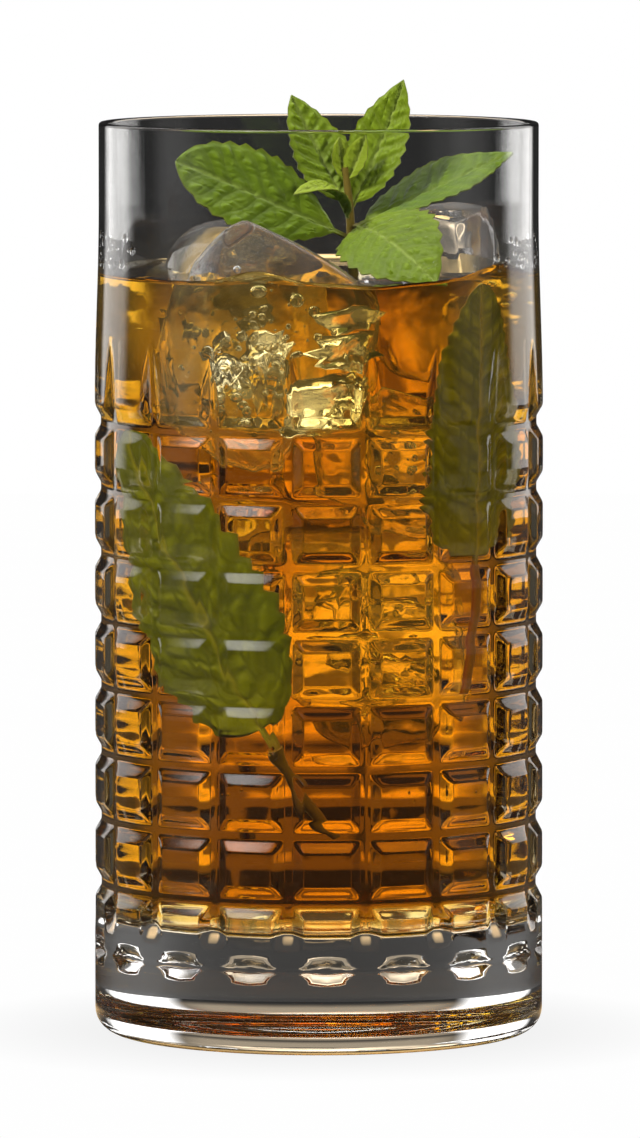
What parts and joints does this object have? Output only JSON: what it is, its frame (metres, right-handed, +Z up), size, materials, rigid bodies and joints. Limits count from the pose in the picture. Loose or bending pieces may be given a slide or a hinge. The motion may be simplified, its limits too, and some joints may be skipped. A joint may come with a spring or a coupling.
{
  "type": "iced mint cocktail in a tall glass",
  "caption": "Tall pressed glass with a grid of square facets, filled with an amber iced cocktail and topped with a sprig of mint.",
  "frame": {"origin": "centre of the glass's foot, on the surface that it stands on", "axes": "+Z up along the glass's axis, the pictured side faces -Y"},
  "size_m": [0.0748, 0.0748, 0.1589],
  "materials": {
    "clear_glass": "clear pressed glass",
    "amber_drink": "clear amber liquid",
    "ice": "wet half-melted ice",
    "mint": "fresh puckered leaf, faint sheen"
  },
  "bodies": {
    "root": {"glass": "clear_glass", "drink": "amber_drink", "ice_front_left": "ice", "ice_back_right": "ice", "ice_back_left": "ice", "mint_sprig": "mint"}
  },
  "joints": []
}
